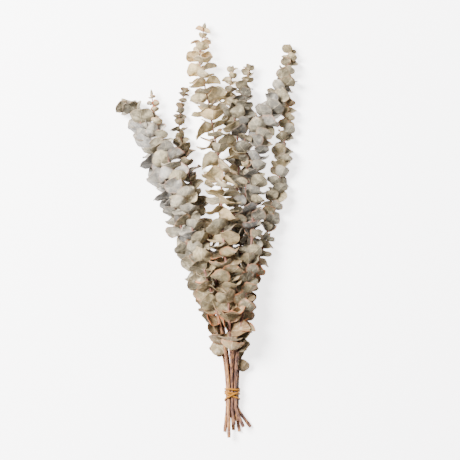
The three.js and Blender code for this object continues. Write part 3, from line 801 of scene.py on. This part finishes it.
class Finish:
    def __init__(self, name, roughness, **constants):
        self.material = bpy.data.materials.new(name)
        self.material.use_nodes = True
        self.tree = self.material.node_tree
        self.shader = self.tree.nodes["Principled BSDF"]
        self.shader.inputs["Roughness"].default_value = roughness
        for socket, value in constants.items():
            self.shader.inputs[socket.replace("_", " ")].default_value = value

    def node(self, kind, settings=None, sockets=None, output=0):
        node = self.tree.nodes.new(kind)
        for name, value in (settings or {}).items():
            if name == "stops":
                ramp = node.color_ramp.elements
                while len(ramp) < len(value):
                    ramp.new(1)
                for stop, (place, colour) in zip(ramp, value):
                    stop.position, stop.color = place, (*colour, 1)
            else:
                setattr(node, name, value)
        for key, value in (sockets or {}).items():
            value = getattr(value, "socket", value)
            if isinstance(value, bpy.types.NodeSocket):
                self.tree.links.new(value, node.inputs[key])
            else:
                node.inputs[key].default_value = value
        return Value(self, node.outputs[output])

    def attribute(self, name):
        return self.node("ShaderNodeAttribute", {"attribute_name": name}, output=2)

    def noise(self, scale, detail, stretch=(1, 1, 1)):
        where = self.node("ShaderNodeTexCoord", output=3)
        where = self.node("ShaderNodeMapping", sockets={"Vector": where, "Scale": stretch})
        sockets = {"Vector": where, "Scale": scale, "Detail": detail}
        return self.node("ShaderNodeTexNoise", sockets=sockets)

    def blend(self, share, a, b):
        a, b = ((*side, 1) if isinstance(side, tuple) else side for side in (a, b))
        return self.node("ShaderNodeMix", {"data_type": "RGBA"}, {0: share, 6: a, 7: b}, output=2)

    def dimmed(self, colour, by):
        return self.node("ShaderNodeVectorMath", {"operation": "SCALE"}, {0: colour, "Scale": by})

    def colour(self, value):
        self.tree.links.new(value.socket, self.shader.inputs["Base Color"])

    def rough(self, value):
        self.tree.links.new(value.socket, self.shader.inputs["Roughness"])

    def bump(self, height, distance, strength):
        sockets = {"Height": height, "Distance": distance, "Strength": strength}
        bumped = self.node("ShaderNodeBump", sockets=sockets)
        self.tree.links.new(bumped.socket, self.shader.inputs["Normal"])


def srgb(red, green, blue):
    """A colour as it is read off a screen, 0 to 255, as the light that a shader works with."""
    scaled = (channel / 255 for channel in (red, green, blue))
    return tuple(c / 12.92 if c <= 0.04045 else ((c + 0.055) / 1.055) ** 2.4 for c in scaled)


# %% [markdown]
# ## The leaves' finish
#
# Dried eucalyptus is never one colour. A leaf goes from grey-blue through beige to tan as it ages,
# wears a pale waxy bloom in patches, and has a paler midrib with fine veins to each side. Old leaves
# are red along the rim. Warmth picks a colour from a ramp, and the rest is laid over it, with painted
# shade darkening each blade towards its root.

# %% Leaf finish
leaf_finish = Finish("dried eucalyptus leaf", 0.75, Specular_IOR_Level=0.25)
warmth = leaf_finish.attribute("warmth")
light = leaf_finish.attribute("light")
blush = leaf_finish.attribute("blush")
along = leaf_finish.attribute("along_leaf")
across = leaf_finish.attribute("across_leaf").magnitude()
to_rim = leaf_finish.attribute("to_rim")
mottle = leaf_finish.noise(190, 4)
speckle = leaf_finish.noise(760, 2)

own_colour = leaf_finish.node(
    "ShaderNodeValToRGB",
    {
        "stops": [
            (0.0, srgb(158, 154, 148)),
            (0.35, srgb(162, 151, 126)),
            (0.65, srgb(186, 167, 126)),
            (1.0, srgb(166, 131, 90)),
        ]
    },
    {"Fac": warmth + (mottle - 0.5) * 0.5},
)
# Darker towards each leaf's root: painted shade where the blade meets the stem and its neighbours crowd
# it.
painted_axil_shade = along.between(-0.1, 0.45) * 0.4 + 0.6
# shade multiplies each leaf's lightness (for inner_left partly painted shade), the painted shade at the
# root, and random speckle and mottle.
shade = light * painted_axil_shade * (speckle * 0.6 + 0.55) * (mottle.between(0.34, 0.62) * 0.34 + 0.74)
plain = leaf_finish.dimmed(own_colour, shade)
bloom = mottle.between(0.52, 0.72) * 0.3
dusty = leaf_finish.blend(bloom, plain, srgb(196, 192, 180))
midrib = 1 - across.between(0.0, 0.024)
side_veins = ((along - across * 0.9) * 62).wave().between(0.86, 1.0) * (1 - to_rim.between(0.8, 1.0))
veined = leaf_finish.blend(midrib * 0.5 + side_veins * 0.16, dusty, srgb(214, 196, 160))
brown_edge = leaf_finish.blend(to_rim.between(0.84, 1.0) * 0.3, veined, srgb(104, 80, 56))
reddened = to_rim.between(0.66, 1.0) * mottle.between(0.38, 0.58) * blush
red_edge = leaf_finish.blend(reddened, brown_edge, srgb(174, 94, 52))
leaf_finish.colour(red_edge)
leaf_finish.rough(0.62 + mottle * 0.2)
leaf_finish.bump(midrib * 0.5 + side_veins * 0.25 + mottle * 0.8, 0.0012, 0.9)

# %% [markdown]
# ## The bark's finish
#
# The stalks are reddish brown, streaked along their length, with dark patches and scuffed pale ones.
# Each branch has its own age, so no two stalks are quite the same brown. The young wood between the
# leaves is smoother and pinker, and the bud at its end has the colour of a leaf. The streaks are a
# noise that is stretched along the bunch.

# %% Bark and cut wood finishes
bark_finish = Finish("eucalyptus bark", 0.75, Specular_IOR_Level=0.25)
age, young, bud = (bark_finish.attribute(name) for name in ("age", "young", "bud"))
streaks = bark_finish.noise(700, 3, stretch=(1, 0.12, 1)).between(0.36, 0.64)
patches = bark_finish.noise(260, 3, stretch=(1, 0.35, 1)).between(0.36, 0.62)
old_bark = bark_finish.node(
    "ShaderNodeValToRGB",
    {
        "stops": [
            (0.08, srgb(66, 46, 39)),
            (0.36, srgb(110, 77, 64)),
            (0.62, srgb(134, 93, 64)),
            (0.95, srgb(168, 122, 74)),
        ]
    },
    {"Fac": streaks * 0.45 + patches * 0.4 + (age - 0.4) * 0.5},
)
twig_bark = bark_finish.blend(streaks, srgb(92, 58, 48), srgb(138, 100, 86))
bare_bark = bark_finish.blend(young, old_bark, twig_bark)
bark_finish.colour(bark_finish.blend(bud, bare_bark, srgb(128, 116, 92)))
bark_finish.rough(0.55 + patches * 0.3)
bark_finish.bump(streaks, 0.0006, 0.9)

wood_finish = Finish("cut wood", 0.8)
rings = wood_finish.noise(900, 3)
wood_finish.colour(wood_finish.blend(rings, srgb(150, 108, 76), srgb(206, 172, 130)))

# %% [markdown]
# ## The tie's finish
#
# The rubber is orange-yellow, a little shiny, and dustier in some places than in others.

# %% Rubber finish
rubber_finish = Finish("orange rubber", 0.55, Specular_IOR_Level=0.3)
dust = rubber_finish.noise(260, 3)
rubber_finish.colour(rubber_finish.blend(dust, srgb(114, 69, 0), srgb(150, 97, 0)))
rubber_finish.rough(0.5 + dust * 0.25)
rubber_finish.bump(dust, 0.0002, 0.5)

# %% [markdown]
# ## Handing the pieces to the frame
#
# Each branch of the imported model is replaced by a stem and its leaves. The face of a stem that looks
# back along the first bit of its line is the cut, and it gets the finish of bare wood.

# %% Finishes on the pieces, and pieces on the frame
for branch in BRANCHES:
    for piece, finishes in ((branch.foliage, [leaf_finish]), (branch.wood, [bark_finish, wood_finish])):
        piece.data.materials.clear()
        for finish in finishes:
            piece.data.materials.append(finish.material)
        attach(piece, "root")
        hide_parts("branch_" + branch.name)
    cut = (branch.stem.line[0] + SHIFT) * MM
    back = -branch.stem.frame(0)[1]
    for face in branch.wood.data.polygons:
        if (face.center - cut).length < 3 * MM and face.normal.dot(back) > 0.9:
            face.material_index = 1
tie.data.materials.append(rubber_finish.material)
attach(tie, "root")
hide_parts(TIE_NODE)

# %% [markdown]
# ## Floor, light and camera
#
# The bunch lies on white paper and is seen from straight above. Broad soft light comes from the upper
# left, so a faint shadow falls to the right. The camera is far off with a long lens, which keeps the
# tall branches from leaning outwards.

# %% Floor
PICTURE_WIDTH = 609.5  # millimetres of table that the picture's width covers
PICTURE_MIDDLE = Vector((-3, 214.6, 0))  # from the tie's middle
CAMERA_HEIGHT = 2.2
PAPER_GLOW = 2.9  # lifts the paper to white without more light on the leaves
SENSOR = 36  # millimetres, and the usual one

deselect_all()
middle = (PICTURE_MIDDLE + SHIFT) * MM
bpy.ops.mesh.primitive_plane_add(size=8, location=(0, 0, 0))
floor = bpy.context.object
floor.name = "white_paper"
paper_finish = Finish("white paper", 0.85)
paper_finish.shader.inputs["Base Color"].default_value = (0.96, 0.95, 0.95, 1)
paper_finish.shader.inputs["Emission Color"].default_value = (1, 0.975, 0.98, 1)
paper_finish.shader.inputs["Emission Strength"].default_value = PAPER_GLOW
floor.data.materials.append(paper_finish.material)

# %% Light
world = bpy.context.scene.world or bpy.data.worlds.new("studio")
bpy.context.scene.world = world
world.use_nodes = True
world.node_tree.nodes["Background"].inputs["Color"].default_value = (1, 0.995, 0.99, 1)
world.node_tree.nodes["Background"].inputs["Strength"].default_value = 0.42


def add_light(name, place, size, power):
    light = bpy.data.lights.new(name, "AREA")
    light.shape, light.size, light.energy = "DISK", size, power
    lamp = bpy.data.objects.new(name, light)
    lamp.location = middle + Vector(place)
    lamp.rotation_euler = (middle - lamp.location).to_track_quat("-Z", "Y").to_euler()
    bpy.context.collection.objects.link(lamp)


add_light("soft light", (-1.5, 0.9, 2.0), 1.3, 440)

# %% Camera
camera = bpy.data.cameras.new("overhead")
camera.sensor_width = SENSOR
camera.lens = SENSOR * CAMERA_HEIGHT / (PICTURE_WIDTH * MM)
overhead = bpy.data.objects.new("overhead", camera)
overhead.location = middle + Vector((0, 0, CAMERA_HEIGHT))
bpy.context.collection.objects.link(overhead)
bpy.context.scene.camera = overhead
